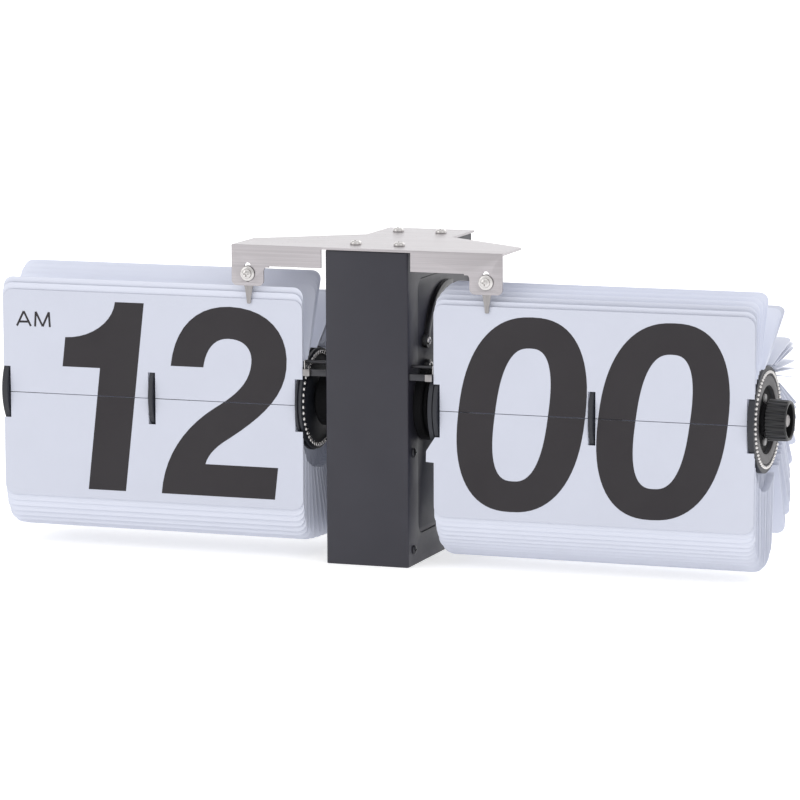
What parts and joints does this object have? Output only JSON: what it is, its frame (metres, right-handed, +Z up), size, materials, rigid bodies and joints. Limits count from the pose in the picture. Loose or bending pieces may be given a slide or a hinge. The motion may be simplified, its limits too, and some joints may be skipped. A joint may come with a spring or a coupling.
{
  "type": "flip number clock",
  "caption": "Flip number clock with a narrow centre case, a steel top bracket and two drums of printed leaves, hours on the left and minutes on the right.",
  "frame": {"origin": "centre of the case's bottom face, on the surface that the clock stands on", "axes": "+X along the drums, from the hour side to the minute side; +Y from the dial side to the back; +Z up"},
  "size_m": [0.3586, 0.0893, 0.1414],
  "materials": {
    "case": "satin dark grey paint with a fine texture",
    "black_metal": "blackened screw heads",
    "brushed_steel": "fine brushed stainless steel",
    "bright_metal": "plain bright plated metal",
    "black_plastic": "moulded black plastic",
    "grey_plastic": "moulded dark grey plastic",
    "leaf": "thin semi-gloss white sheet, slightly blue",
    "print": "screen-printed dark grey ink",
    "gear_plastic": "natural acetal",
    "brass": "turned brass",
    "board": "solder mask",
    "cell": "plain metal sleeve"
  },
  "bodies": {
    "root": {"case_shell": "case", "right_side_panel": "case", "left_side_panel": "case", "right_case_screw_1": "black_metal", "right_case_screw_2": "black_metal", "left_case_screw_1": "black_metal", "left_case_screw_2": "black_metal", "top_bracket": "brushed_steel", "bracket_screw_1": "bright_metal", "bracket_screw_2": "bright_metal", "bracket_screw_3": "bright_metal", "bracket_screw_4": "bright_metal", "minute_boss": "black_plastic", "hour_boss": "black_plastic", "minute_detent": "bright_metal", "hour_detent": "bright_metal", "right_guard_strip": "black_plastic", "left_guard_strip": "black_plastic", "movement_plate_right": "brushed_steel", "movement_plate_left": "brushed_steel", "movement_pillar_1": "brass", "movement_pillar_2": "brass", "movement_pillar_3": "brass", "motor": "brushed_steel", "circuit_board": "board", "battery_cell": "cell", "contact_front": "bright_metal", "contact_back": "bright_metal", "minute_leaf_upper": "leaf", "minute_leaves_waiting": "leaf", "minute_leaves_fallen": "leaf", "hour_leaf_upper": "leaf", "hour_leaves_waiting": "leaf", "hour_leaves_fallen": "leaf"},
    "minute_drum": {"minute_axle": "bright_metal", "minute_disc_inner": "black_plastic", "minute_disc_middle": "black_plastic", "minute_disc_outer": "black_plastic", "minute_ring": "grey_plastic", "minute_knob": "black_plastic", "minute_drive_wheel": "gear_plastic", "minute_pinion": "brass"},
    "hour_drum": {"hour_axle": "bright_metal", "hour_disc_inner": "black_plastic", "hour_disc_middle": "black_plastic", "hour_disc_outer": "black_plastic", "hour_wheel": "gear_plastic"},
    "reduction_shaft": {"reduction_wheel": "gear_plastic", "reduction_pinion": "brass"},
    "motor_shaft": {"motor_pinion": "brass"},
    "minute_leaf": {"minute_leaf_lower": "leaf"},
    "hour_leaf": {"hour_leaf_lower": "leaf"},
    "minute_finger_strip": {"minute_finger": "bright_metal", "minute_finger_washer": "bright_metal", "minute_finger_screw": "bright_metal"},
    "hour_finger_strip": {"hour_finger": "bright_metal", "hour_finger_washer": "bright_metal", "hour_finger_screw": "bright_metal"},
    "battery_lid": {"battery_door": "case"}
  },
  "joints": [
    {"name": "minute_turn", "type": "hinge", "parent": "root", "child": "minute_drum", "pos_m": [0, -0.02125, 0.0698], "axis": [1, 0, 0], "continuous": true},
    {"name": "hour_turn", "type": "hinge", "parent": "root", "child": "hour_drum", "pos_m": [0, -0.02125, 0.0698], "axis": [1, 0, 0], "continuous": true},
    {"name": "reduction_turn", "type": "hinge", "parent": "root", "child": "reduction_shaft", "pos_m": [0, -0.00025, 0.0698], "axis": [1, 0, 0], "continuous": true},
    {"name": "motor_turn", "type": "hinge", "parent": "root", "child": "motor_shaft", "pos_m": [0.01, -0.02741, 0.08671], "axis": [1, 0, 0], "continuous": true},
    {"name": "minute_leaf_lift", "type": "hinge", "parent": "root", "child": "minute_leaf", "pos_m": [0.102, -0.04175, 0.06873], "axis": [-1, 0, 0], "range_deg": [0, 150]},
    {"name": "hour_leaf_lift", "type": "hinge", "parent": "root", "child": "hour_leaf", "pos_m": [-0.102, -0.04175, 0.06803], "axis": [-1, 0, 0], "range_deg": [0, 150]},
    {"name": "minute_finger_slide", "type": "slide", "parent": "root", "child": "minute_finger_strip", "axis": [0, 0, 1], "range_m": [-0.0005, 0.0025]},
    {"name": "hour_finger_slide", "type": "slide", "parent": "root", "child": "hour_finger_strip", "axis": [0, 0, 1], "range_m": [-0.0005, 0.0025]},
    {"name": "battery_door_slide", "type": "slide", "parent": "root", "child": "battery_lid", "axis": [0, 1, 0], "range_m": [0, 0.02]}
  ],
  "couplings": [
    {"joint": "hour_turn", "follows": "minute_turn", "ratio": 0.041667},
    {"joint": "reduction_turn", "follows": "minute_turn", "ratio": -0.25},
    {"joint": "motor_turn", "follows": "minute_turn", "ratio": -5}
  ]
}
